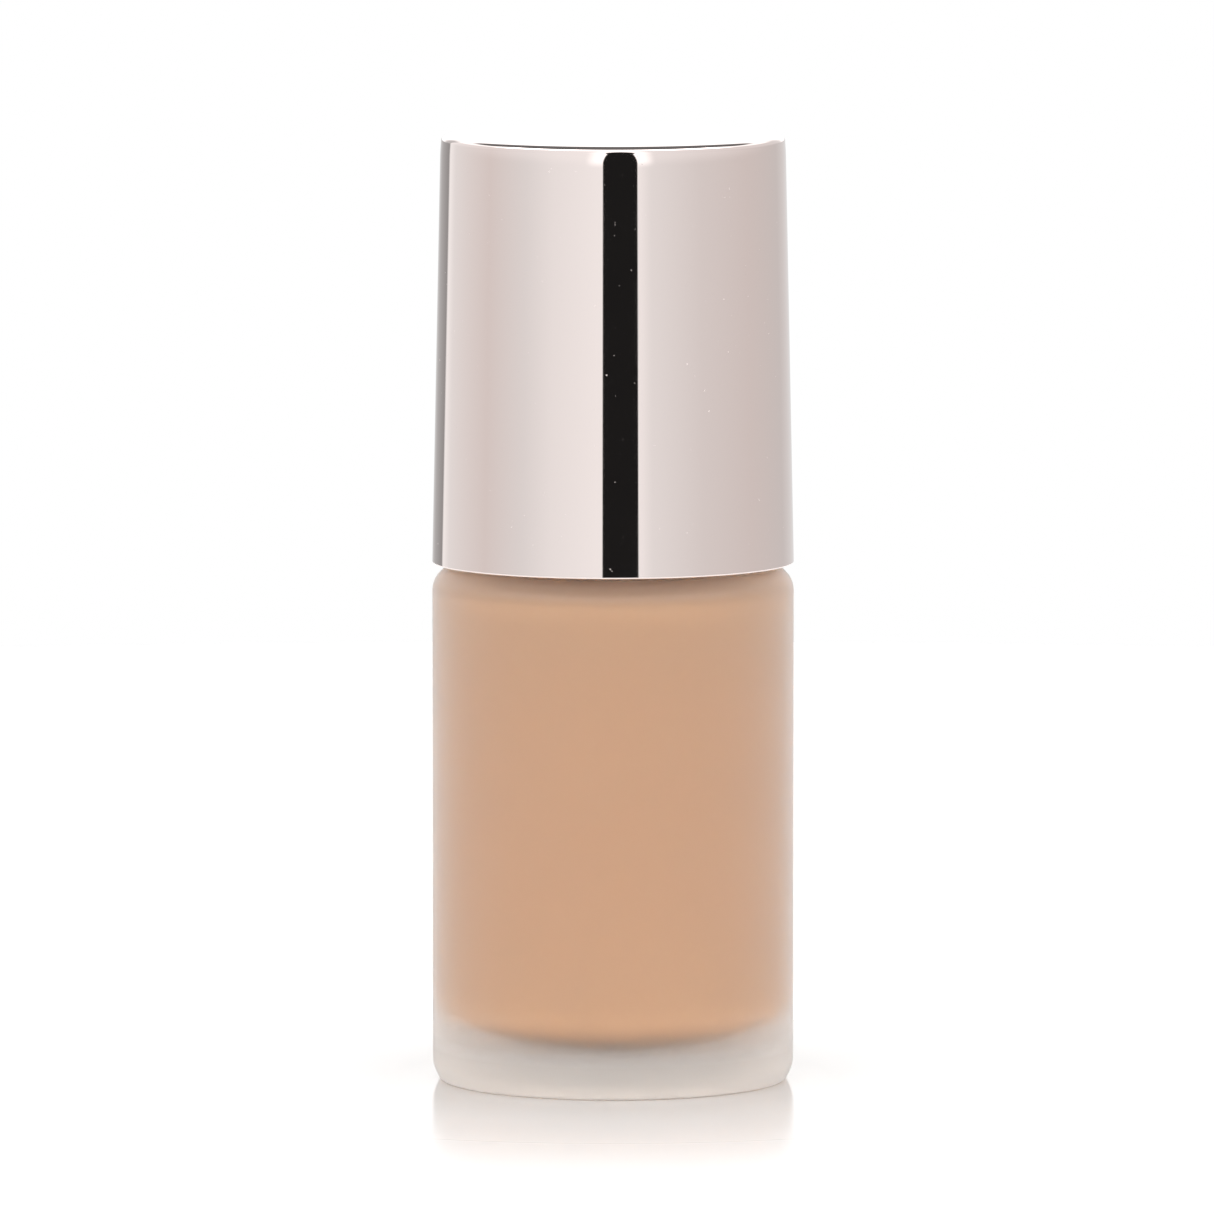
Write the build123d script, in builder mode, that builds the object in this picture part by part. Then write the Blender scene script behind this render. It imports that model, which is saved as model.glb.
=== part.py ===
from build123d import *
import os

# A 30 ml foundation bottle: a round glass bottle with a screw-on treatment pump under a pull-off cap.
# Millimetres, +Z up. The origin is the centre of the base, and the pump's spout points along -Y.

os.makedirs("parts", exist_ok=True)

# ---------------------------------------------------------------- driving dimensions
total_height = 93.8
body_radius = 17.9

# glass bottle
shoulder_z = 51.2
shoulder_thickness = 1.6
base_thickness = 3.6
cavity_radius = 15.1
cavity_top_corner = 2.2
cavity_floor_corner = 3.6
bowl_kink_radius = 5.9
bowl_rise = 3.6
bowl_radius = 30.0
heel_setback = 0.75
heel_height = 1.5
heel_radius = 0.5
heel_blend_radius = 3.0
shoulder_radius = 2.5
recess_depth = 0.7
recess_radius = 13.5
recess_slope = 0.7
neck_radius = 8.7
neck_bore_radius = 6.6
neck_height = 10.0
neck_root_radius = 0.8
neck_lip_radius = 0.5
neck_mouth_radius = 0.4
bore_foot_radius = 1.0
resting_edge_radius = 0.4

# liquid
headspace = 0.2
fill_gap = 0.3

# blank label in the recess
label_radius = 12.0
label_thickness = 0.12

# screw thread of a 20 mm neck finish
thread_pitch = 3.175
thread_depth = 0.95
thread_bite = 0.2
neck_thread_root = 1.9
neck_thread_crest = 0.9
neck_thread_turns = 1.25
neck_thread_start_z = shoulder_z + 3.5
closure_thread_root = 1.5
closure_thread_crest = 0.6
closure_thread_turns = 1.0

# closure and its sleeve
closure_bottom_z = shoulder_z + 0.6
inner_skirt_radius = 9.9
inner_skirt_outer_radius = 11.2
outer_skirt_inner_radius = 12.6
closure_outer_radius = 13.7
closure_hole_radius = 5.2
deck_thickness = 1.35
web_count = 8
web_thickness = 0.9
web_height = 9.2
sleeve_radius = 14.3
sleeve_top_thickness = 0.6
sleeve_hole_radius = 6.2
sleeve_overhang = 0.1

# pump
flange_radius = 9.3
flange_thickness = 1.0
gasket_thickness = 0.8
housing_radius = 5.2
chamber_radius = 3.9
chamber_floor_z = 44.4
cage_outer_radius = 3.4
cage_radius = 1.9
cage_mouth_radius = 1.4
cage_lip_height = 0.57
ball_radius = 1.5875
ball_seat_z = 41.0
ball_seat_radius = 1.1
socket_outer_radius = 2.7
socket_bottom_z = 35.8
tube_radius = 1.8
tube_bore_radius = 1.3
tube_bottom_z = 6.2
tube_top_z = 40.0
guide_bottom_z = 58.8
guide_top_z = 66.6
stem_radius = 2.2
stem_bore_radius = 1.3
stem_top_z = 77.0
stem_collar_radius = 3.3
stem_collar_height = 1.2
stem_collar_z = 57.5
piston_bottom_z = 54.4
piston_height = 2.6
piston_waist_radius = 3.3
rod_head_height = 0.8
rod_pin_radius = 1.6
rod_pin_length = 2.6
rod_top_z = 62.0
spring_wire_radius = 0.3
spring_radius = 2.9
spring_turns = 6.0
running_gap = 0.05

# push button
button_radius = 11.5
button_bottom_z = 70.0
button_top_z = 84.2
button_skin = 0.7
button_edge_radius = 0.9
core_wall = 1.0
core_deck = 1.4
core_setback = 1.2
hub_radius = 3.8
hub_bottom_z = 71.4
spout_z = 79.6
spout_radius = 2.6
spout_reach = 14.0
spout_rim_radius = 0.35
channel_radius = 1.1
insert_radius = 1.7
insert_bore_radius = 0.8
insert_length = 2.8
insert_pocket = 3.0

# pull-off cap
cap_bottom_z = shoulder_z + 0.3
cap_top_radius = 16.93
cap_crown_radius = 17.08
cap_crown_height = 2.25
cap_edge_radius = 0.5
cap_lip_radius = 0.15
cap_top_thickness = 1.5
cap_bore_bottom_radius = 16.6
cap_bore_top_radius = 15.8
liner_wall = 1.1
liner_setback = 0.3
rib_count = 8
rib_width = 1.2
rib_length = 1.6
rib_height = 11.0
weight_radius = 15.0
weight_thickness = 1.9

# ---------------------------------------------------------------- derived levels
cavity_top_z = shoulder_z - shoulder_thickness
fill_top_z = cavity_top_z - headspace
neck_top_z = shoulder_z + neck_height
gasket_bottom_z = neck_top_z + running_gap
flange_bottom_z = gasket_bottom_z + gasket_thickness
flange_top_z = flange_bottom_z + flange_thickness
deck_bottom_z = flange_top_z + 2 * running_gap
deck_top_z = deck_bottom_z + deck_thickness
sleeve_top_z = deck_top_z + sleeve_top_thickness
cap_bore_top_z = total_height - cap_top_thickness
weight_bottom_z = cap_bore_top_z - weight_thickness - 2 * running_gap
guide_bore_radius = stem_radius + 2 * running_gap
core_radius = button_radius - button_skin
core_top_z = button_top_z - button_skin
spout_plane = Plane(origin=(0, 0, spout_z), x_dir=(1, 0, 0), z_dir=(0, -1, 0))
wall_foot_z = base_thickness + bowl_rise

# Outside of the pump's lower end, from the cylinder down to the tube's socket: (radius, height).
housing_steps = [
    (housing_radius, 43.6),
    (cage_outer_radius, 42.6),
    (cage_outer_radius, tube_top_z),
    (socket_outer_radius, tube_top_z - 0.4),
    (socket_outer_radius, socket_bottom_z),
]


def cap_bore_radius(z):
    """Radius of the cap shell's tapered bore at height z."""
    share = (z - cap_bottom_z) / (cap_bore_top_z - cap_bottom_z)
    return cap_bore_bottom_radius + (cap_bore_top_radius - cap_bore_bottom_radius) * share


def turn(points, radii=None, mode=Mode.ADD):
    """Revolve a closed outline of (radius, height) points about Z, with its corners rounded by radii."""
    with BuildSketch(Plane.XZ) as outline:
        with BuildLine():
            if radii is None:
                Polyline(*points, close=True)
            else:
                FilletPolyline(*points, radius=radii, close=True)
        make_face()
    revolve(outline.sketch, axis=Axis.Z, mode=mode)


def ring_edges(builder):
    """The circular edges of a part's lowest face, from the smallest radius to the largest."""
    return builder.edges().filter_by(GeomType.CIRCLE).group_by(Axis.Z)[0].sort_by(SortBy.RADIUS)


def add_thread(wall_radius, crest_radius, root_width, crest_width, start_z, turns):
    """Sweep a trapezoid thread from just inside the wall to its crest, up a right-hand helix."""
    depth = crest_radius - wall_radius
    bite = -thread_bite if depth > 0 else thread_bite
    with BuildLine() as lead:
        Helix(thread_pitch, turns * thread_pitch, wall_radius, center=(0, 0, start_z))
    with BuildSketch(Plane(origin=lead.line @ 0, x_dir=(1, 0, 0), z_dir=lead.line % 0)) as tooth:
        with BuildLine():
            Polyline(
                (bite, -root_width / 2),
                (0, -root_width / 2),
                (depth, -crest_width / 2),
                (depth, crest_width / 2),
                (0, root_width / 2),
                (bite, root_width / 2),
                close=True,
            )
        make_face()
    sweep(tooth.sketch, path=lead.line, is_frenet=True)


# ---------------------------------------------------------------- bottle
# Glass body with a thick base, a shallow push-up under it, a bowl-shaped cavity floor and the threaded neck.
with BuildPart() as glass_bottle:
    turn(
        [
            (0, recess_depth),
            (recess_radius, recess_depth),
            (recess_radius + recess_slope, 0),
            (body_radius - heel_setback, 0),
            (body_radius, heel_height),
            (body_radius, shoulder_z),
            (neck_radius, shoulder_z),
            (neck_radius, neck_top_z),
            (neck_bore_radius, neck_top_z),
            (neck_bore_radius, cavity_top_z),
            (cavity_radius, cavity_top_z),
            (cavity_radius, wall_foot_z),
            (bowl_kink_radius, base_thickness),
            (0, base_thickness),
        ],
        radii=[
            0,
            resting_edge_radius,
            0,
            0,
            heel_blend_radius,
            shoulder_radius,
            neck_root_radius,
            neck_lip_radius,
            neck_mouth_radius,
            bore_foot_radius,
            cavity_top_corner,
            cavity_floor_corner,
            bowl_radius,
            0,
        ],
    )
    # The ring it stands on stays a true plane, so its two edges are rounded on the solid.
    fillet(ring_edges(glass_bottle)[0], resting_edge_radius)
    fillet(ring_edges(glass_bottle)[-1], heel_radius)
    add_thread(
        neck_radius,
        neck_radius + thread_depth,
        neck_thread_root,
        neck_thread_crest,
        neck_thread_start_z,
        neck_thread_turns,
    )
glass_bottle.part.label = "glass_bottle"
export_step(glass_bottle.part, "parts/glass_bottle.step")

# The liquid fills the cavity to just under the shoulder, with a stepped well where the pump hangs.
well = [(radius + fill_gap, height - fill_gap) for radius, height in housing_steps]
tube_well_z = tube_bottom_z - fill_gap
fill_corners = [0, 0, 0, bowl_radius, cavity_floor_corner, cavity_top_corner - headspace]
with BuildPart() as foundation_fill:
    turn(
        [
            (tube_radius + fill_gap, tube_well_z),
            (0, tube_well_z),
            (0, base_thickness),
            (bowl_kink_radius, base_thickness),
            (cavity_radius, wall_foot_z),
            (cavity_radius, fill_top_z),
            (housing_radius + fill_gap, fill_top_z),
            *well,
            (tube_radius + fill_gap, socket_bottom_z - fill_gap),
        ],
        radii=fill_corners + [0] * (len(well) + 2),
    )
foundation_fill.part.label = "foundation_fill"
export_step(foundation_fill.part, "parts/foundation_fill.step")

# Blank round sticker on the glass inside the push-up.
with BuildPart() as base_label:
    with BuildSketch(Plane.XY.offset(recess_depth - label_thickness)):
        Circle(label_radius)
    extrude(amount=label_thickness)
base_label.part.label = "base_label"
export_step(base_label.part, "parts/base_label.step")

# ---------------------------------------------------------------- pump engine
# Cylinder with a flange on top, the ball's seat and cage below, and a socket for the tube.
cage_lip_z = chamber_floor_z - cage_lip_height
with BuildPart() as pump_housing:
    turn(
        [
            (chamber_radius, flange_top_z),
            (flange_radius, flange_top_z),
            (flange_radius, flange_bottom_z),
            (housing_radius, flange_bottom_z),
            *housing_steps,
            (tube_radius, socket_bottom_z),
            (tube_radius, tube_top_z),
            (ball_seat_radius, tube_top_z),
            (ball_seat_radius, ball_seat_z),
            (cage_radius, ball_seat_z + cage_radius - ball_seat_radius),
            (cage_radius, cage_lip_z),
            (cage_mouth_radius, cage_lip_z),
            (cage_mouth_radius, chamber_floor_z),
            (chamber_radius, chamber_floor_z),
        ]
    )
pump_housing.part.label = "pump_housing"
export_step(pump_housing.part, "parts/pump_housing.step")

# Suction tube, its lower end cut on a slant.
with BuildPart() as dip_tube:
    with BuildSketch(Plane.XY.offset(tube_bottom_z)):
        Circle(tube_radius)
        Circle(tube_bore_radius, mode=Mode.SUBTRACT)
    extrude(amount=tube_top_z - tube_bottom_z)
    slant = Plane(origin=(0, 0, tube_bottom_z + 1.1), x_dir=(1, 0, 0.6), z_dir=(-0.6, 0, 1))
    split(bisect_by=slant, keep=Keep.TOP)
dip_tube.part.label = "dip_tube"
export_step(dip_tube.part, "parts/dip_tube.step")

# Soft washer between the pump's flange and the lip of the neck.
with BuildPart() as neck_gasket:
    with BuildSketch(Plane.XY.offset(gasket_bottom_z)):
        Circle(flange_radius)
        Circle(housing_radius, mode=Mode.SUBTRACT)
    extrude(amount=gasket_thickness)
neck_gasket.part.label = "neck_gasket"
export_step(neck_gasket.part, "parts/neck_gasket.step")

# Ring snapped into the cylinder that guides the stem and stops its collar.
guide_boss_radius = closure_hole_radius - 0.3
guide_bevel = 1.0
with BuildPart() as stem_guide:
    turn(
        [
            (guide_bore_radius, guide_bottom_z),
            (chamber_radius, guide_bottom_z),
            (chamber_radius, flange_top_z),
            (guide_boss_radius, flange_top_z),
            (guide_boss_radius, guide_top_z - guide_bevel),
            (guide_boss_radius - guide_bevel, guide_top_z),
            (guide_bore_radius, guide_top_z),
        ]
    )
stem_guide.part.label = "stem_guide"
export_step(stem_guide.part, "parts/stem_guide.step")

# Compression spring between the chamber's floor and the rod's head.
spring_bottom_z = chamber_floor_z + spring_wire_radius + running_gap
spring_height = piston_bottom_z - rod_head_height - spring_wire_radius - running_gap - spring_bottom_z
with BuildPart() as return_spring:
    with BuildLine() as coil:
        Helix(spring_height / spring_turns, spring_height, spring_radius, center=(0, 0, spring_bottom_z))
    with BuildSketch(Plane(origin=coil.line @ 0, z_dir=coil.line % 0)) as wire_section:
        Circle(spring_wire_radius)
    sweep(wire_section.sketch, path=coil.line, is_frenet=True)
return_spring.part.label = "return_spring"
export_step(return_spring.part, "parts/return_spring.step")

# Ball of the inlet valve, a hair above its 45 degree seat.
seat_clearance = 0.03
ball_z = ball_seat_z - ball_seat_radius + 2**0.5 * (ball_radius + seat_clearance)
with BuildPart() as inlet_ball:
    with Locations((0, 0, ball_z)):
        Sphere(ball_radius)
inlet_ball.part.label = "inlet_ball"
export_step(inlet_ball.part, "parts/inlet_ball.step")

# ---------------------------------------------------------------- plunger
# Hollow stem with the collar that stops it under the guide.
with BuildPart() as pump_stem:
    turn(
        [
            (stem_bore_radius, stem_collar_z),
            (stem_collar_radius, stem_collar_z),
            (stem_collar_radius, stem_collar_z + stem_collar_height),
            (stem_radius, stem_collar_z + stem_collar_height),
            (stem_radius, stem_top_z),
            (stem_bore_radius, stem_top_z),
        ]
    )
pump_stem.part.label = "pump_stem"
export_step(pump_stem.part, "parts/pump_stem.step")

# Rod pushed up into the stem, with two flats that let the liquid pass, a seat for the spring and a pin in it.
rod_head_top_z = piston_bottom_z - 0.02
rod_head_bottom_z = piston_bottom_z - rod_head_height
rod_pin_bottom_z = rod_head_bottom_z - rod_pin_length
flat_bottom_z = piston_bottom_z + 1.1
flat_depth = 0.5
with BuildPart() as piston_rod:
    turn(
        [
            (0, rod_pin_bottom_z),
            (rod_pin_radius, rod_pin_bottom_z),
            (rod_pin_radius, rod_head_bottom_z),
            (stem_collar_radius, rod_head_bottom_z),
            (stem_collar_radius, rod_head_top_z),
            (stem_bore_radius, rod_head_top_z),
            (stem_bore_radius, rod_top_z),
            (0, rod_top_z),
        ]
    )
    with BuildSketch(Plane.XY.offset(flat_bottom_z)):
        with Locations((0, stem_bore_radius), (0, -stem_bore_radius)):
            Rectangle(2 * stem_bore_radius, 2 * flat_depth)
    extrude(amount=rod_top_z - flat_bottom_z, mode=Mode.SUBTRACT)
piston_rod.part.label = "piston_rod"
export_step(piston_rod.part, "parts/piston_rod.step")

# Sliding seal with a lip at each end. Lifting it off the rod's head opens the way into the stem.
piston_radius = chamber_radius - running_gap
piston_bore_radius = stem_bore_radius + 2 * running_gap
lip_height = 0.6
lip_slope = 0.4
piston_top_z = piston_bottom_z + piston_height
with BuildPart() as piston:
    turn(
        [
            (piston_bore_radius, piston_bottom_z),
            (piston_radius, piston_bottom_z),
            (piston_radius, piston_bottom_z + lip_height),
            (piston_waist_radius, piston_bottom_z + lip_height + lip_slope),
            (piston_waist_radius, piston_top_z - lip_height - lip_slope),
            (piston_radius, piston_top_z - lip_height),
            (piston_radius, piston_top_z),
            (piston_bore_radius, piston_top_z),
        ]
    )
piston.part.label = "piston"
export_step(piston.part, "parts/piston.step")

# ---------------------------------------------------------------- closure
# Double-skirted screw collar: the inner skirt carries the thread, and webs tie it to the outer one.
web_top_z = deck_bottom_z - 0.8
web_mid_radius = (inner_skirt_outer_radius + outer_skirt_inner_radius) / 2
web_length = outer_skirt_inner_radius - inner_skirt_outer_radius + 0.6
with BuildPart() as screw_closure:
    turn(
        [
            (inner_skirt_radius, closure_bottom_z),
            (inner_skirt_radius, deck_bottom_z),
            (closure_hole_radius, deck_bottom_z),
            (closure_hole_radius, deck_top_z),
            (closure_outer_radius, deck_top_z),
            (closure_outer_radius, closure_bottom_z),
            (outer_skirt_inner_radius, closure_bottom_z),
            (outer_skirt_inner_radius, web_top_z),
            (inner_skirt_outer_radius, web_top_z),
            (inner_skirt_outer_radius, closure_bottom_z),
        ]
    )
    with BuildSketch(Plane.XY.offset(web_top_z - web_height)):
        with PolarLocations(web_mid_radius, web_count):
            Rectangle(web_length, web_thickness)
    extrude(amount=web_height)
    add_thread(
        inner_skirt_radius,
        inner_skirt_radius - thread_depth,
        closure_thread_root,
        closure_thread_crest,
        neck_thread_start_z - thread_pitch / 2,
        closure_thread_turns,
    )
screw_closure.part.label = "screw_closure"
export_step(screw_closure.part, "parts/screw_closure.step")

# Bright metal sleeve pressed over the closure, turned in over its deck.
sleeve_bottom_z = closure_bottom_z - sleeve_overhang
with BuildPart() as collar_sleeve:
    turn(
        [
            (closure_outer_radius, sleeve_bottom_z),
            (closure_outer_radius, deck_top_z),
            (sleeve_hole_radius, deck_top_z),
            (sleeve_hole_radius, sleeve_top_z),
            (sleeve_radius, sleeve_top_z),
            (sleeve_radius, sleeve_bottom_z),
        ],
        radii=[0, 0, 0.15, 0.15, 0.55, 0.15],
    )
collar_sleeve.part.label = "collar_sleeve"
export_step(collar_sleeve.part, "parts/collar_sleeve.step")

# ---------------------------------------------------------------- push button
# Inner part: a cup with a hub that turns on the stem, and the spout with its channel.
socket_top_z = stem_top_z + 0.2
core_bottom_z = button_bottom_z + core_setback
with BuildPart() as actuator_core:
    turn(
        [
            (0, socket_top_z),
            (stem_radius + running_gap, socket_top_z),
            (stem_radius + running_gap, hub_bottom_z),
            (hub_radius, hub_bottom_z),
            (hub_radius, core_top_z - core_deck),
            (core_radius - core_wall, core_top_z - core_deck),
            (core_radius - core_wall, core_bottom_z),
            (core_radius, core_bottom_z),
            (core_radius, core_top_z),
            (0, core_top_z),
        ]
    )
    with BuildSketch(spout_plane):
        Circle(spout_radius)
    extrude(amount=spout_reach)
    with BuildSketch(spout_plane):
        Circle(channel_radius)
    extrude(amount=spout_reach, mode=Mode.SUBTRACT)
    with BuildSketch(spout_plane.offset(spout_reach - insert_pocket)):
        Circle(insert_radius)
    extrude(amount=insert_pocket, mode=Mode.SUBTRACT)
    with BuildSketch(Plane.XY.offset(stem_top_z)):
        Circle(channel_radius)
    extrude(amount=spout_z - stem_top_z, mode=Mode.SUBTRACT)
    tip_circles = edges().filter_by(GeomType.CIRCLE).sort_by(Axis.Y)[0:2]
    fillet(tip_circles.sort_by(SortBy.RADIUS)[-1], spout_rim_radius)
actuator_core.part.label = "actuator_core"
export_step(actuator_core.part, "parts/actuator_core.step")

# Bright metal cover of the button, with a round window for the spout.
with BuildPart() as actuator_shell:
    turn(
        [
            (0, core_top_z),
            (core_radius, core_top_z),
            (core_radius, button_bottom_z),
            (button_radius, button_bottom_z),
            (button_radius, button_top_z),
            (0, button_top_z),
        ],
        radii=[0, 0, 0.15, 0.15, button_edge_radius, 0],
    )
    with BuildSketch(spout_plane):
        Circle(spout_radius)
    extrude(amount=spout_reach, mode=Mode.SUBTRACT)
actuator_shell.part.label = "actuator_shell"
export_step(actuator_shell.part, "parts/actuator_shell.step")

# Tip pressed into the end of the spout.
with BuildPart() as nozzle_insert:
    with BuildSketch(spout_plane.offset(spout_reach - insert_pocket)):
        Circle(insert_radius)
        Circle(insert_bore_radius, mode=Mode.SUBTRACT)
    extrude(amount=insert_length)
nozzle_insert.part.label = "nozzle_insert"
export_step(nozzle_insert.part, "parts/nozzle_insert.step")

# ---------------------------------------------------------------- pull-off cap
# Outer shell: a long straight draft that rolls in at the crown, a flat top and a crisp edge.
crown_z = total_height - cap_crown_height
with BuildPart() as overcap_shell:
    with BuildSketch(Plane.XZ):
        with BuildLine():
            side = Line((body_radius, cap_bottom_z), (cap_crown_radius, crown_z))
            crown = TangentArc(side @ 1, (cap_top_radius, total_height), tangent=side % 1)
            Polyline(
                crown @ 1,
                (0, total_height),
                (0, cap_bore_top_z),
                (cap_bore_top_radius, cap_bore_top_z),
                (cap_bore_bottom_radius, cap_bottom_z),
                side @ 0,
            )
        make_face()
        lip_corner = vertices().sort_by(Axis.X)[-1]
        fillet(lip_corner, radius=cap_lip_radius)
        top_corner = vertices().sort_by(Axis.Y)[-2:].sort_by(Axis.X)[-1]
        fillet(top_corner, radius=cap_edge_radius)
    revolve(axis=Axis.Z)
overcap_shell.part.label = "overcap_shell"
export_step(overcap_shell.part, "parts/overcap_shell.step")

# Steel disc that gives the cap its weight.
with BuildPart() as overcap_weight:
    with BuildSketch(Plane.XY.offset(weight_bottom_z + running_gap)):
        Circle(weight_radius)
    extrude(amount=weight_thickness)
overcap_weight.part.label = "overcap_weight"
export_step(overcap_weight.part, "parts/overcap_weight.step")

# Liner: a cup in the shell's bore, with ribs inside its mouth that grip the collar.
liner_bottom_z = cap_bottom_z + liner_setback
liner_ceiling_z = weight_bottom_z - liner_wall
rib_bottom_z = liner_bottom_z + 0.5
rib_reach = sleeve_radius + running_gap
with BuildPart() as overcap_liner:
    turn(
        [
            (cap_bore_radius(liner_bottom_z), liner_bottom_z),
            (cap_bore_radius(weight_bottom_z), weight_bottom_z),
            (0, weight_bottom_z),
            (0, liner_ceiling_z),
            (cap_bore_radius(liner_ceiling_z) - liner_wall, liner_ceiling_z),
            (cap_bore_radius(liner_bottom_z) - liner_wall, liner_bottom_z),
        ]
    )
    with BuildSketch(Plane.XY.offset(rib_bottom_z)):
        with PolarLocations(rib_reach + rib_length / 2, rib_count):
            Rectangle(rib_length, rib_width)
    extrude(amount=rib_height)
overcap_liner.part.label = "overcap_liner"
export_step(overcap_liner.part, "parts/overcap_liner.step")
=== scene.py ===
import math

import bmesh
import bpy
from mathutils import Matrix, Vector


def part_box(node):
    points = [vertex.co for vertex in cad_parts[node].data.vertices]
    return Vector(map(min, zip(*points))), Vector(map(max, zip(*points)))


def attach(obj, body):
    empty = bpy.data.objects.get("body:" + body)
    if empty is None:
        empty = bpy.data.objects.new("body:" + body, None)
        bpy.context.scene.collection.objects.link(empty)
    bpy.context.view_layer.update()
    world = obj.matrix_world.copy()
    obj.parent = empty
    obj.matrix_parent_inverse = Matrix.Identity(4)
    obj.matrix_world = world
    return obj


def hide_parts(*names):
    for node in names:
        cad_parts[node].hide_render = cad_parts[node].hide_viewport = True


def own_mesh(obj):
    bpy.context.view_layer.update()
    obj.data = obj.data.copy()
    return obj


# A 30 ml foundation bottle in frosted glass with a mirror-finish pull-off cap over a treatment pump.
# Everything is in metres, in the CAD frame: +Z up, the base's centre at the origin, the front towards -Y.

MM = 0.001

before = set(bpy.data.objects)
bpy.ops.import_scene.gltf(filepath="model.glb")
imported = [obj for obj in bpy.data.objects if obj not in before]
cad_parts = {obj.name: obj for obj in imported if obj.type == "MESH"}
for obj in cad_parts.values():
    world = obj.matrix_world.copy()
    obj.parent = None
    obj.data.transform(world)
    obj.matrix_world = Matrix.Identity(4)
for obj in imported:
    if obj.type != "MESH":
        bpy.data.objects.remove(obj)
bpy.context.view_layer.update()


# ---------------------------------------------------------------- node helpers
def new_material(name):
    """A material with an empty node tree and one Principled shader, ready to be linked."""
    material = bpy.data.materials.new(name)
    material.use_nodes = True
    nodes = material.node_tree.nodes
    nodes.clear()
    output = nodes.new("ShaderNodeOutputMaterial")
    shader = nodes.new("ShaderNodeBsdfPrincipled")
    material.node_tree.links.new(shader.outputs["BSDF"], output.inputs["Surface"])
    return material, shader


def add_node(material, kind, **settings):
    """Add a node; plain names set its properties, and names of inputs set their default values."""
    node = material.node_tree.nodes.new(kind)
    for name, value in settings.items():
        if name in node.inputs:
            node.inputs[name].default_value = value
        else:
            setattr(node, name, value)
    return node


def link(material, source, target):
    material.node_tree.links.new(source, target)


def object_noise(material, scale, detail, stretch=(1.0, 1.0, 1.0)):
    """Noise in object space. Scale is in features per metre, because objects are in metres."""
    coords = add_node(material, "ShaderNodeTexCoord")
    mapping = add_node(material, "ShaderNodeMapping")
    mapping.inputs["Scale"].default_value = stretch
    noise = add_node(material, "ShaderNodeTexNoise", Scale=scale, Detail=detail, Roughness=0.55)
    link(material, coords.outputs["Object"], mapping.inputs["Vector"])
    link(material, mapping.outputs["Vector"], noise.inputs["Vector"])
    return noise


def remap(material, source, low, high, from_low=0.3, from_high=0.7):
    """A Map Range node to low..high, by default from the middle range of a noise."""
    node = add_node(material, "ShaderNodeMapRange")
    node.inputs["From Min"].default_value = from_low
    node.inputs["From Max"].default_value = from_high
    node.inputs["To Min"].default_value = low
    node.inputs["To Max"].default_value = high
    link(material, source, node.inputs["Value"])
    return node.outputs["Result"]


def add_bump(material, shader, height, strength, distance):
    """Very fine relief, on top of the shapes that the meshes carry themselves."""
    bump = add_node(material, "ShaderNodeBump", Strength=strength, Distance=distance)
    link(material, height, bump.inputs["Height"])
    link(material, bump.outputs["Normal"], shader.inputs["Normal"])


def mix_colours(material, factor, first, second):
    """A colour between the first and the second, by a factor from another node."""
    mix = add_node(material, "ShaderNodeMix", data_type="RGBA")
    mix.inputs["A"].default_value = (*first, 1.0)
    mix.inputs["B"].default_value = (*second, 1.0)
    link(material, factor, mix.inputs["Factor"])
    return mix.outputs["Result"]


# ---------------------------------------------------------------- materials
def mirror_metal(name, colour, base_roughness):
    """Vacuum-metallised mirror finish: fine haze, hairline scratches and a few dust specks."""
    material, shader = new_material(name)
    shader.inputs["Metallic"].default_value = 1.0
    haze = object_noise(material, 90.0, detail=5.0)
    roughness = remap(material, haze.outputs["Fac"], base_roughness, base_roughness + 0.03)
    specks = object_noise(material, 2600.0, detail=1.0)
    speck_mask = remap(material, specks.outputs["Fac"], 0.0, 1.0, 0.775, 0.80)
    add_rough = add_node(material, "ShaderNodeMath", operation="MULTIPLY_ADD")
    link(material, speck_mask, add_rough.inputs[0])
    add_rough.inputs[1].default_value = 0.35
    link(material, roughness, add_rough.inputs[2])
    link(material, add_rough.outputs["Value"], shader.inputs["Roughness"])
    tint = object_noise(material, 30.0, detail=2.0)
    warm = tuple(channel * factor for channel, factor in zip(colour, (1.0, 0.985, 0.975)))
    link(material, mix_colours(material, tint.outputs["Fac"], colour, warm), shader.inputs["Base Color"])
    ripple = object_noise(material, 120.0, detail=2.0, stretch=(1.0, 1.0, 0.25))
    add_bump(material, shader, ripple.outputs["Fac"], 0.05, 0.02 * MM)
    return material


def frosted_glass(name):
    """Acid-etched outside of clear glass, milkiest at the thick base, with a very fine grain. The thick base
    is also painted a darker, warmer grey as painted shade.
    """
    material, shader = new_material(name)
    shader.inputs["IOR"].default_value = 1.5
    coords = add_node(material, "ShaderNodeTexCoord")
    split = add_node(material, "ShaderNodeSeparateXYZ")
    link(material, coords.outputs["Object"], split.inputs["Vector"])
    height = split.outputs["Z"]
    up_wall = remap(material, height, 0.0, 1.0, 3.2 * MM, 4.8 * MM)
    # Painted shade: below the wall the glass is coloured a darker, warmer grey.
    tint = mix_colours(material, up_wall, (0.675, 0.635, 0.60), (0.975, 0.955, 0.935))
    link(material, tint, shader.inputs["Base Color"])
    link(material, remap(material, up_wall, 0.45, 0.93, 0.0, 1.0), shader.inputs["Transmission Weight"])
    patches = object_noise(material, 260.0, detail=6.0)
    wall_roughness = remap(material, patches.outputs["Fac"], 0.38, 0.43)
    etch = add_node(material, "ShaderNodeMath", operation="ADD")
    link(material, wall_roughness, etch.inputs[0])
    link(material, remap(material, up_wall, 0.35, 0.0, 0.0, 1.0), etch.inputs[1])
    link(material, etch.outputs["Value"], shader.inputs["Roughness"])
    shader.inputs["Sheen Weight"].default_value = 0.65
    shader.inputs["Sheen Roughness"].default_value = 0.5
    grain = object_noise(material, 9000.0, detail=2.0)
    add_bump(material, shader, grain.outputs["Fac"], 0.12, 0.01 * MM)
    return material


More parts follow.
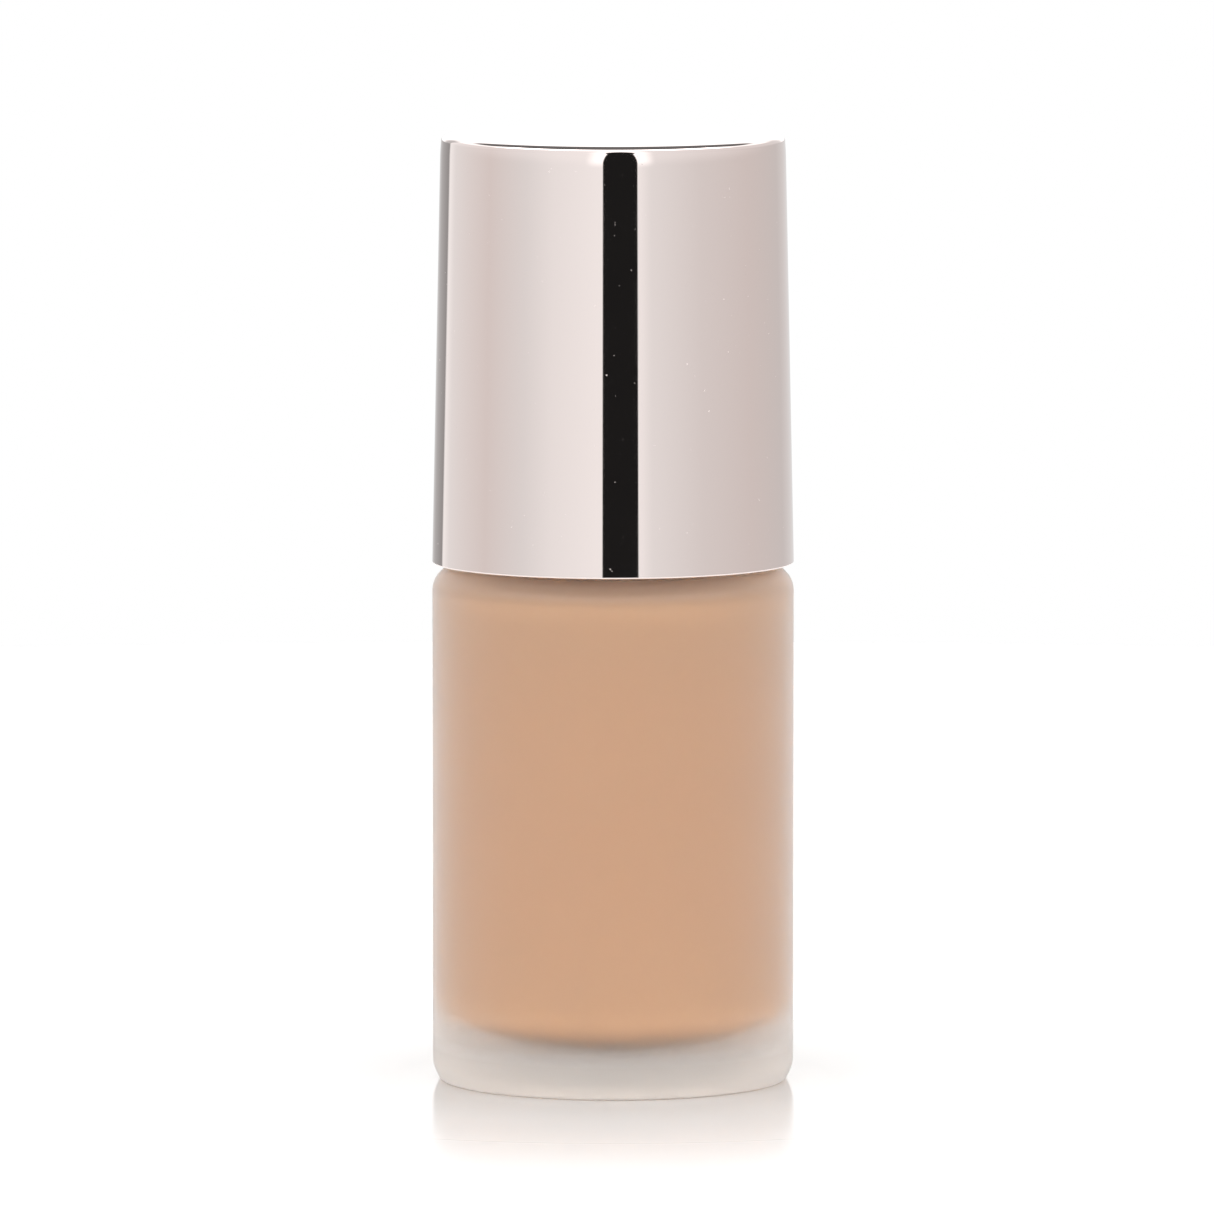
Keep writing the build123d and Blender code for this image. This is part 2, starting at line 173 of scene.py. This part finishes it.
def clear_glass(name):
    """Unfrosted inside of the glass, with faint waves from the blowing."""
    material, shader = new_material(name)
    shader.inputs["Base Color"].default_value = (0.99, 0.985, 0.98, 1.0)
    shader.inputs["Transmission Weight"].default_value = 1.0
    shader.inputs["IOR"].default_value = 1.5
    waves = object_noise(material, 150.0, detail=2.0)
    link(material, remap(material, waves.outputs["Fac"], 0.02, 0.06), shader.inputs["Roughness"])
    add_bump(material, shader, waves.outputs["Fac"], 0.1, 0.05 * MM)
    return material


def foundation_liquid(name):
    """Opaque beige emulsion, with slow swirls of lighter and warmer pigment."""
    material, shader = new_material(name)
    shader.inputs["IOR"].default_value = 1.38
    shader.inputs["Specular IOR Level"].default_value = 0.1
    swirls = object_noise(material, 70.0, detail=4.0, stretch=(1.0, 1.0, 0.35))
    colour = mix_colours(material, swirls.outputs["Fac"], (0.692, 0.388, 0.184), (0.727, 0.412, 0.199))
    link(material, colour, shader.inputs["Base Color"])
    link(material, remap(material, swirls.outputs["Fac"], 0.32, 0.42), shader.inputs["Roughness"])
    return material


def moulded_plastic(name, colour, roughness, grain=3000.0, translucent=0.0):
    """Injection-moulded plastic: fine spark-eroded grain and slight flow marks."""
    material, shader = new_material(name)
    shader.inputs["IOR"].default_value = 1.49
    shader.inputs["Transmission Weight"].default_value = translucent
    flow = object_noise(material, 140.0, detail=3.0, stretch=(1.0, 1.0, 0.4))
    darker = tuple(channel * 0.96 for channel in colour)
    link(material, mix_colours(material, flow.outputs["Fac"], darker, colour), shader.inputs["Base Color"])
    link(material, remap(material, flow.outputs["Fac"], roughness - 0.05, roughness + 0.05),
         shader.inputs["Roughness"])
    fine = object_noise(material, grain, detail=2.0)
    add_bump(material, shader, fine.outputs["Fac"], 0.15, 0.01 * MM)
    return material


def drawn_steel(name, colour, roughness, stretch):
    """Bright drawn or rolled steel with directional marks."""
    material, shader = new_material(name)
    shader.inputs["Metallic"].default_value = 1.0
    marks = object_noise(material, 1800.0, detail=4.0, stretch=stretch)
    darker = tuple(channel * 0.88 for channel in colour)
    link(material, mix_colours(material, marks.outputs["Fac"], darker, colour), shader.inputs["Base Color"])
    link(material, remap(material, marks.outputs["Fac"], roughness, roughness + 0.12),
         shader.inputs["Roughness"])
    add_bump(material, shader, marks.outputs["Fac"], 0.1, 0.01 * MM)
    return material


def label_film(name):
    """Blank satin label film."""
    material, shader = new_material(name)
    fibres = object_noise(material, 2200.0, detail=5.0)
    colour = mix_colours(material, fibres.outputs["Fac"], (0.80, 0.785, 0.76), (0.86, 0.85, 0.83))
    link(material, colour, shader.inputs["Base Color"])
    link(material, remap(material, fibres.outputs["Fac"], 0.45, 0.6), shader.inputs["Roughness"])
    add_bump(material, shader, fibres.outputs["Fac"], 0.2, 0.01 * MM)
    return material


rose_silver = (0.93, 0.84, 0.815)
cap_mirror = mirror_metal("cap_mirror", rose_silver, 0.02)
trim_mirror = mirror_metal("trim_mirror", (0.76, 0.665, 0.64), 0.2)
glass_outside = frosted_glass("glass_outside")
glass_inside = clear_glass("glass_inside")
liquid = foundation_liquid("liquid")
white_plastic = moulded_plastic("white_plastic", (0.82, 0.81, 0.79), 0.35)
liner_plastic = moulded_plastic("liner_plastic", (0.78, 0.765, 0.75), 0.42)
natural_plastic = moulded_plastic("natural_plastic", (0.86, 0.88, 0.87), 0.3, translucent=0.55)
soft_plastic = moulded_plastic("soft_plastic", (0.74, 0.75, 0.75), 0.55)
spring_steel = drawn_steel("spring_steel", (0.66, 0.66, 0.67), 0.18, (1.0, 1.0, 1.0))
weight_steel = drawn_steel("weight_steel", (0.58, 0.58, 0.6), 0.28, (0.08, 1.0, 1.0))
label = label_film("label")


# ---------------------------------------------------------------- mesh helpers
def arc(centre, radius, start, end, steps=8):
    """Points along a circular arc from one angle to another."""
    angles = [start + (end - start) * step / steps for step in range(steps + 1)]
    return [Vector(centre) + radius * Vector((math.cos(angle), math.sin(angle))) for angle in angles]


def rounded(corners, step_degrees=9.0, longest=1.5 * MM):
    """Corners given as ((radius, height), fillet) turned into an outline with arcs of those fillets."""
    points = [Vector(point) for point, _ in corners]
    outline = [points[0]]
    for index in range(1, len(points) - 1):
        corner, fillet = points[index], corners[index][1]
        if fillet == 0:
            outline.append(corner)
            continue
        back = (points[index - 1] - corner).normalized()
        ahead = (points[index + 1] - corner).normalized()
        half = back.angle(ahead) / 2
        centre = corner + (back + ahead).normalized() * (fillet / math.sin(half))
        first = corner + back * (fillet / math.tan(half)) - centre
        last = corner + ahead * (fillet / math.tan(half)) - centre
        start = math.atan2(first.y, first.x)
        sweep = (math.atan2(last.y, last.x) - start + math.pi) % (2 * math.pi) - math.pi
        by_angle = round(abs(math.degrees(sweep)) / step_degrees)
        by_length = math.ceil(abs(sweep) * fillet / longest)
        steps = max(3, by_angle, by_length)
        outline += arc(centre, fillet, start, start + sweep, steps)
    return outline + [points[-1]]


def subdivided(outline, longest):
    """The outline with its long straight runs divided, so that shading and bends stay smooth."""
    result = []
    for first, second in zip(outline, outline[1:]):
        pieces = max(1, math.ceil((second - first).length / longest))
        result += [first.lerp(second, step / pieces) for step in range(pieces)]
    return result + [outline[-1]]


def lathe(name, outline, segments=192, shift=None):
    """Turn an outline of (radius, height) about Z. shift(angle, radius, height) may change the radius."""
    mesh = bpy.data.meshes.new(name)
    bm = bmesh.new()
    rings = []
    for point in outline:
        if point[0] < 1e-9:
            rings.append([bm.verts.new((0, 0, point[1]))])
            continue
        ring = []
        for index in range(segments):
            angle = 2 * math.pi * index / segments
            radius = point[0] + (shift(angle, point[0], point[1]) if shift else 0)
            ring.append(bm.verts.new((radius * math.cos(angle), radius * math.sin(angle), point[1])))
        rings.append(ring)
    for lower, upper in zip(rings, rings[1:]):
        for index in range(segments):
            after = (index + 1) % segments
            corners = [lower[index % len(lower)], lower[after % len(lower)],
                       upper[after % len(upper)], upper[index % len(upper)]]
            unique = list(dict.fromkeys(corners))
            if len(unique) > 2:
                bm.faces.new(unique)
    bmesh.ops.recalc_face_normals(bm, faces=bm.faces)
    bm.to_mesh(mesh)
    bm.free()
    mesh.shade_smooth()
    piece = bpy.data.objects.new(name, mesh)
    bpy.context.scene.collection.objects.link(piece)
    return piece


def finish_piece(piece, body, slot, *materials, replaced=()):
    for material in materials:
        piece.data.materials.append(material)
    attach(piece, body)
    if replaced:
        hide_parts(*replaced)


def sharpen(piece, degrees):
    """Keep edges sharper than the angle crisp while the rest shades smoothly."""
    piece.data.set_sharp_from_angle(angle=math.radians(degrees))


# ---------------------------------------------------------------- sizes, from the frame where it has them
glass_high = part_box("glass_bottle")[1]
fill_low, fill_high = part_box("foundation_fill")
shell_low, shell_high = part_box("overcap_shell")

neck_height = 10.0 * MM
neck_radius = 8.7 * MM
neck_bore = 6.6 * MM
neck_top = glass_high[2]
shoulder = neck_top - neck_height
body_radius = glass_high[0]
heel_setback = 0.75 * MM
heel_height = 1.5 * MM
recess_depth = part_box("base_label")[1][2]
recess_radius = 13.5 * MM
recess_slope = 0.7 * MM

headspace = 0.2 * MM
cavity_radius = fill_high[0]
cavity_top = fill_high[2] + headspace
cavity_floor = fill_low[2]
cavity_top_corner = 2.2 * MM
cavity_floor_corner = 3.6 * MM
bowl_kink_radius = 5.9 * MM
bowl_rise = 3.6 * MM
bowl_radius = 30.0 * MM

thread_pitch = 3.175 * MM
thread_depth = 0.95 * MM
thread_start = shoulder + 3.5 * MM
thread_turns = 1.25

cap_crown_radius = 17.08 * MM
cap_crown_height = 2.25 * MM
cap_top_radius = 16.93 * MM
cap_edge_radius = 0.5 * MM
cap_lip_radius = 0.15 * MM
cap_top_thickness = 1.5 * MM
cap_bore_bottom = 16.6 * MM
cap_bore_top = 15.8 * MM


# ---------------------------------------------------------------- glass bottle
def thread_shift(angle, radius, height):
    """How far the neck's moulded thread stands out at this place on the neck's outer wall."""
    if abs(radius - neck_radius) > 0.01 * MM:
        return 0.0
    flat, foot, run_out = 0.40 * MM, 1.0 * MM, 0.08
    best = 0.0
    for along in (angle / (2 * math.pi), angle / (2 * math.pi) + 1):
        offset = abs(height - (thread_start + thread_pitch * along))
        rise = min(1.0, max(0.0, (foot - offset) / (foot - flat)))
        end = min(1.0, max(0.0, min(along, thread_turns - along) / run_out))
        best = max(best, thread_depth * rise * rise * (3 - 2 * rise) * end)
    return best


def make_glass():
    corners = [
        ((0, recess_depth), 0),
        ((recess_radius, recess_depth), 0.4 * MM),
        ((recess_radius + recess_slope, 0), 0.4 * MM),
        ((body_radius - heel_setback, 0), 0.5 * MM),
        ((body_radius, heel_height), 3.0 * MM),
        ((body_radius, shoulder), 2.5 * MM),
        ((neck_radius, shoulder), 0.8 * MM),
        ((neck_radius, neck_top), 0.5 * MM),
        ((neck_bore, neck_top), 0.4 * MM),
        ((neck_bore, cavity_top), 1.0 * MM),
        ((cavity_radius, cavity_top), cavity_top_corner),
        ((cavity_radius, cavity_floor + bowl_rise), cavity_floor_corner),
        ((bowl_kink_radius, cavity_floor), bowl_radius),
        ((0, cavity_floor), 0),
    ]
    outline = rounded(corners)
    first_neck = next(i for i, p in enumerate(outline) if p[1] > shoulder and p[0] < neck_radius + 0.01 * MM)
    last_neck = next(i for i, p in enumerate(outline) if p[1] > neck_top - 0.6 * MM)
    neck_rows = subdivided([outline[first_neck], outline[last_neck]], 0.12 * MM)
    outline = subdivided(outline[:first_neck], 3 * MM) + neck_rows + outline[last_neck + 1:]
    glass = lathe("glass_body", outline, segments=224, shift=thread_shift)
    for polygon in glass.data.polygons:
        centre = polygon.center
        radius = math.hypot(centre.x, centre.y)
        in_cavity = cavity_floor - 1e-6 < centre.z < cavity_top + 1e-6 and radius < cavity_radius + 1e-6
        in_bore = centre.z > cavity_top and radius < neck_bore + 0.01 * MM
        polygon.material_index = 1 if in_cavity or in_bore else 0
    sharpen(glass, 60)
    finish_piece(glass, "bottle", "frosted_glass", glass_outside, glass_inside, replaced=["glass_bottle"])


def make_liquid():
    """The liquid wets the glass: its skin stands a hair inside the wall, so no air film shows between.

    A gap is left round the pump's hanging parts, which step in from the flange to the dip tube.
    """
    skin = 0.03 * MM
    gap = 0.3 * MM
    flange_radius, flange_bottom = 5.2 * MM, 43.3 * MM
    barrel_radius, barrel_top, barrel_bottom = 3.4 * MM, 42.3 * MM, 39.7 * MM
    tail_radius, tail_top, tail_bottom = 2.7 * MM, 39.3 * MM, 35.5 * MM
    wall = cavity_radius + skin
    top = cavity_top + skin
    tube_low, tube_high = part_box("dip_tube")
    tube_radius = tube_high[0] + gap
    floor = cavity_floor - skin
    corners = [
        ((0, floor), 0),
        ((bowl_kink_radius, floor), bowl_radius),
        ((wall, floor + bowl_rise), cavity_floor_corner),
        ((wall, top), cavity_top_corner),
        ((flange_radius + gap, top), 0),
        ((flange_radius + gap, flange_bottom), 0),
        ((barrel_radius + gap, barrel_top), 0),
        ((barrel_radius + gap, barrel_bottom), 0),
        ((tail_radius + gap, tail_top), 0),
        ((tail_radius + gap, tail_bottom), 0),
        ((tube_radius, tail_bottom), 0),
        ((tube_radius, tube_low[2] - gap), 0),
        ((0, tube_low[2] - gap), 0),
    ]
    fill = lathe("foundation_liquid", rounded(corners), segments=160)
    sharpen(fill, 40)
    finish_piece(fill, "bottle", "foundation", liquid, replaced=["foundation_fill"])


# ---------------------------------------------------------------- return spring
def make_spring():
    """Coil of round wire, sized to the frame's spring, with one end on the cylinder's floor."""
    low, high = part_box("return_spring")
    wire = 0.3 * MM
    turns = 6
    coil = (high[0] - low[0]) / 2 - wire
    bottom, top = low[2] + wire, high[2] - wire
    steps, sides = 48 * turns, 12
    climb = (top - bottom) / (2 * math.pi * turns * coil)
    round_the_wire = [2 * math.pi * side / sides for side in range(sides)]
    bm = bmesh.new()
    rings = []
    for step in range(steps + 1):
        angle = 2 * math.pi * turns * step / steps
        outward = Vector((math.cos(angle), math.sin(angle), 0))
        along = Vector((-math.sin(angle), math.cos(angle), climb)).normalized()
        across = along.cross(outward)
        centre = coil * outward + Vector((0, 0, bottom + (top - bottom) * step / steps))
        rings.append([bm.verts.new(centre + wire * (math.cos(turn) * outward + math.sin(turn) * across))
                      for turn in round_the_wire])
    for lower, upper in zip(rings, rings[1:]):
        for side in range(sides):
            after = (side + 1) % sides
            bm.faces.new((lower[side], lower[after], upper[after], upper[side]))
    bm.faces.new(rings[0])
    bm.faces.new(rings[-1])
    bmesh.ops.recalc_face_normals(bm, faces=bm.faces)
    mesh = bpy.data.meshes.new("spring_coil")
    bm.to_mesh(mesh)
    bm.free()
    mesh.shade_smooth()
    spring = bpy.data.objects.new("spring_coil", mesh)
    bpy.context.scene.collection.objects.link(spring)
    sharpen(spring, 60)
    finish_piece(spring, "pump_engine", "spring_steel", spring_steel, replaced=["return_spring"])
    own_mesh(spring)


# ---------------------------------------------------------------- pull-off cap
def make_cap_shell():
    """Mirror shell: a long straight draft that rolls in over the crown, a flat top and a crisp edge."""
    bottom, top = shell_low[2], shell_high[2]
    crown = top - cap_crown_height
    slope = (cap_crown_radius - body_radius) / (crown - bottom)
    roll_in = (cap_top_radius - cap_crown_radius - slope * cap_crown_height) / cap_crown_height ** 2

    def side_radius(height):
        above = max(0.0, height - crown)
        return body_radius + slope * (height - bottom) + roll_in * above ** 2

    heights = [bottom + cap_lip_radius + 0.05 * MM]
    heights += [heights[0] + (crown - heights[0]) * step / 20 for step in range(1, 21)]
    heights += [crown + (cap_crown_height - cap_edge_radius) * step / 16 for step in range(1, 16)]
    side = [Vector((side_radius(height), height)) for height in heights]
    lean = math.atan(-slope - 2 * roll_in * (cap_crown_height - cap_edge_radius))
    edge_top = side_radius(top - cap_edge_radius)
    edge_centre = (edge_top - cap_edge_radius * math.cos(lean), top - cap_edge_radius)
    edge = arc(edge_centre, cap_edge_radius, lean, math.pi / 2)
    lip_foot = side_radius(bottom + cap_lip_radius)
    lip = arc((lip_foot - cap_lip_radius, bottom + cap_lip_radius), cap_lip_radius, -math.pi / 2, 0)
    outline = [
        Vector((0, top - cap_top_thickness)),
        Vector((cap_bore_top, top - cap_top_thickness)),
        Vector((cap_bore_bottom, bottom)),
        *lip,
        *side,
        *edge,
        Vector((edge[-1][0] - 0.1 * MM, top)),
        Vector((0, top)),
    ]
    shell = lathe("cap_shell", outline, segments=320)
    sharpen(shell, 50)
    finish_piece(shell, "overcap", "rose_silver_cap", cap_mirror, replaced=["overcap_shell"])


make_glass()
make_liquid()
make_spring()
make_cap_shell()

cad_looks = {
    "base_label": label,
    "neck_gasket": soft_plastic,
    "pump_housing": natural_plastic,
    "dip_tube": natural_plastic,
    "stem_guide": white_plastic,
    "inlet_ball": spring_steel,
    "pump_stem": white_plastic,
    "piston_rod": white_plastic,
    "piston": soft_plastic,
    "screw_closure": white_plastic,
    "collar_sleeve": trim_mirror,
    "actuator_core": white_plastic,
    "actuator_shell": trim_mirror,
    "nozzle_insert": white_plastic,
    "overcap_liner": liner_plastic,
    "overcap_weight": weight_steel,
}
for node_name, material in cad_looks.items():
    for material_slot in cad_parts[node_name].material_slots:
        material_slot.material = material


# ---------------------------------------------------------------- studio
def make_floor():
    """A round table of white acrylic with painted light and shade in its emission: a glowing patch hidden
    under the bottle lights the bottle's base from below, a dark ring round its heel is a painted shadow, and
    it glows bright again further out. Its gloss dies away outside the bottle's own spot."""
    mesh = bpy.data.meshes.new("table_top")
    bm = bmesh.new()
    bmesh.ops.create_circle(bm, cap_ends=True, segments=96, radius=0.42)
    bm.to_mesh(mesh)
    bm.free()
    table = bpy.data.objects.new("table_top", mesh)
    bpy.context.scene.collection.objects.link(table)
    material, shader = new_material("white_acrylic")
    shader.inputs["Base Color"].default_value = (0.93, 0.93, 0.93, 1.0)
    shader.inputs["IOR"].default_value = 1.5
    shader.inputs["Emission Color"].default_value = (1.0, 1.0, 1.0, 1.0)
    coords = add_node(material, "ShaderNodeTexCoord")
    length = add_node(material, "ShaderNodeVectorMath", operation="LENGTH")
    link(material, coords.outputs["Object"], length.inputs[0])
    distance = length.outputs["Value"]
    link(material, remap(material, distance, 0.5, 0.0, 0.030, 0.075), shader.inputs["Specular IOR Level"])
    link(material, remap(material, distance, 0.10, 0.40, 0.017, 0.070), shader.inputs["Roughness"])
    # Painted light and shade: the emission is brightest in a patch under the bottle, which lights its base,
    # drops to nothing round the heel as a painted shadow, and is bright again further out.
    painted_glow_and_shadow = add_node(material, "ShaderNodeMath", operation="ADD")
    link(material, remap(material, distance, 0.0, 0.31, 0.022, 0.065), painted_glow_and_shadow.inputs[0])
    link(material, remap(material, distance, 1.75, 0.0, 0.0139, 0.017), painted_glow_and_shadow.inputs[1])
    link(material, painted_glow_and_shadow.outputs["Value"], shader.inputs["Emission Strength"])
    mesh.materials.append(material)


def make_studio_light():
    """A tent of white cloth round the table, as a world light: panels, softbox, ceiling and camera slot."""
    world = bpy.data.worlds.new("studio")
    bpy.context.scene.world = world
    world.use_nodes = True
    tree = world.node_tree
    tree.nodes.clear()

    def node(kind, **settings):
        made = tree.nodes.new(kind)
        for key, value in settings.items():
            setattr(made, key, value)
        return made

    def math_node(operation, first, second=None, third=None):
        made = node("ShaderNodeMath", operation=operation)
        for socket, value in zip(made.inputs, (first, second, third)):
            if value is None:
                continue
            if isinstance(value, (int, float)):
                socket.default_value = value
            else:
                tree.links.new(value, socket)
        return made.outputs["Value"]

    def smooth(value, low, high):
        made = node("ShaderNodeMapRange", interpolation_type="SMOOTHSTEP")
        made.inputs["From Min"].default_value = low
        made.inputs["From Max"].default_value = high
        tree.links.new(value, made.inputs["Value"])
        return made.outputs["Result"]

    def blend_colour(factor, first, second):
        made = node("ShaderNodeMix", data_type="RGBA")
        for name, value in (("Factor", factor), ("A", first), ("B", second)):
            if isinstance(value, tuple):
                made.inputs[name].default_value = (*value, 1.0)
            else:
                tree.links.new(value, made.inputs[name])
        return made.outputs["Result"]

    coords = node("ShaderNodeTexCoord")
    split = node("ShaderNodeSeparateXYZ")
    tree.links.new(coords.outputs["Generated"], split.inputs["Vector"])
    east, north, up = split.outputs
    toward_front = math_node("MULTIPLY", north, -1.0)
    azimuth = math_node("DIVIDE", math_node("ARCTAN2", east, toward_front), math.pi / 180)
    elevation = math_node("DIVIDE", math_node("ARCSINE", up), math.pi / 180)
    ramp_place = math_node("MULTIPLY_ADD", azimuth, 1 / 360, 0.5)

    def cloth(brightness, warmth=0.0):
        """Linear colour of a white cloth panel; warmth runs from neutral 0 to a soft beige 1."""
        return (brightness, brightness * (1 - 0.06 * warmth), brightness * (1 - 0.08 * warmth))

    # Broad panels: degrees clockwise from the front seen from above, and the cloth hung there.
    panels = [
        (-180, cloth(0.8)),
        (-160, cloth(0.45)),
        (-142, cloth(0.3)),
        (-140, cloth(0.95)),
        (-130, cloth(0.8)),
        (-90, cloth(0.7, 1.0)),
        (-60, cloth(0.75)),
        (-40, cloth(0.85)),
        (0, cloth(0.95)),
        (15, cloth(0.95)),
        (25, cloth(0.8)),
        (60, cloth(0.7, 0.5)),
        (100, cloth(0.65, 1.0)),
        (140, cloth(0.6, 0.5)),
        (180, cloth(0.8)),
    ]
    ramp = node("ShaderNodeValToRGB")
    stops = ramp.color_ramp.elements
    while len(stops) < len(panels):
        stops.new(0.5)
    for stop, (degrees, colour) in zip(stops, panels):
        stop.position = degrees / 360 + 0.5
        stop.color = (*colour, 1.0)
    tree.links.new(ramp_place, ramp.inputs["Fac"])

    # The panels grow a little paler upward, and the cloth behind the table is the brightest.
    paler = smooth(elevation, -0.5, 5.0)
    raised = blend_colour(math_node("MULTIPLY", paler, 0.3), ramp.outputs["Color"], (1.05, 1.03, 1.03))
    behind = math_node("MULTIPLY", smooth(toward_front, -0.85, -0.96), smooth(elevation, 0.0, 2.0))
    panels_lit = blend_colour(behind, raised, (1.35, 1.35, 1.35))

    # A bright softbox slants over the front half, and a dark ceiling closes the tent above it.
    front_share = smooth(toward_front, -0.15, 0.15)
    overhead = blend_colour(front_share, (1.3, 1.3, 1.3), (3.9, 3.87, 3.84))
    above = smooth(elevation, 20.0, 28.0)
    ceiling = smooth(math_node("MULTIPLY_ADD", front_share, -5.0, elevation), 33.0, 39.0)
    tent = blend_colour(ceiling, blend_colour(above, panels_lit, overhead), (0.15, 0.15, 0.15))

    # The tent's opening, where the camera stands: a dark upright slot with a round top and a bright rim.
    slot_centre, slot_half, slot_top, slot_round = 4.7, 11.4, 8.0, 7.0
    across = math_node("DIVIDE", math_node("SUBTRACT", azimuth, slot_centre), slot_half)
    over_top = math_node("MAXIMUM", math_node("SUBTRACT", elevation, slot_top - slot_round), 0.0)
    upward = math_node("DIVIDE", over_top, slot_round)
    distance = math_node("ADD", math_node("MULTIPLY", across, across), math_node("MULTIPLY", upward, upward))
    rim = math_node("MULTIPLY", smooth(distance, 4.5, 1.5), smooth(elevation, -1.0, 3.0))
    rimmed = blend_colour(rim, tent, (1.3, 1.3, 1.3))
    outside_slot = smooth(distance, 0.95, 1.05)
    lit = blend_colour(outside_slot, (0.012, 0.012, 0.012), rimmed)

    # The camera itself sees a plain white sweep behind the table.
    path = node("ShaderNodeLightPath")
    seen = blend_colour(path.outputs["Is Camera Ray"], lit, (1.0, 1.0, 1.0))
    background = node("ShaderNodeBackground")
    output = node("ShaderNodeOutputWorld")
    tree.links.new(seen, background.inputs["Color"])
    tree.links.new(background.outputs["Background"], output.inputs["Surface"])
    world.cycles.sampling_method = "MANUAL"
    world.cycles.sample_map_resolution = 2048


def make_camera():
    """Long lens, 1.36 m in front of the bottle and a little above its top."""
    data = bpy.data.cameras.new("camera")
    data.sensor_width = 36.0
    data.lens = 409.8
    data.clip_start, data.clip_end = 0.01, 10.0
    camera = bpy.data.objects.new("camera", data)
    bpy.context.scene.collection.objects.link(camera)
    place = Vector((0.0, -1.362, 0.1848))
    target = Vector((-0.0006, 0.0, 0.0470))
    camera.location = place
    camera.rotation_mode = "QUATERNION"
    camera.rotation_quaternion = (target - place).to_track_quat("-Z", "Y")
    bpy.context.scene.camera = camera


def set_view_and_bounces():
    scene = bpy.context.scene
    scene.view_settings.view_transform = "Standard"
    scene.view_settings.look = "None"
    scene.cycles.use_denoising = True
    scene.cycles.max_bounces = 16
    scene.cycles.transmission_bounces = 16
    scene.cycles.glossy_bounces = 8
    scene.cycles.diffuse_bounces = 8


make_floor()
make_studio_light()
make_camera()
set_view_and_bounces()
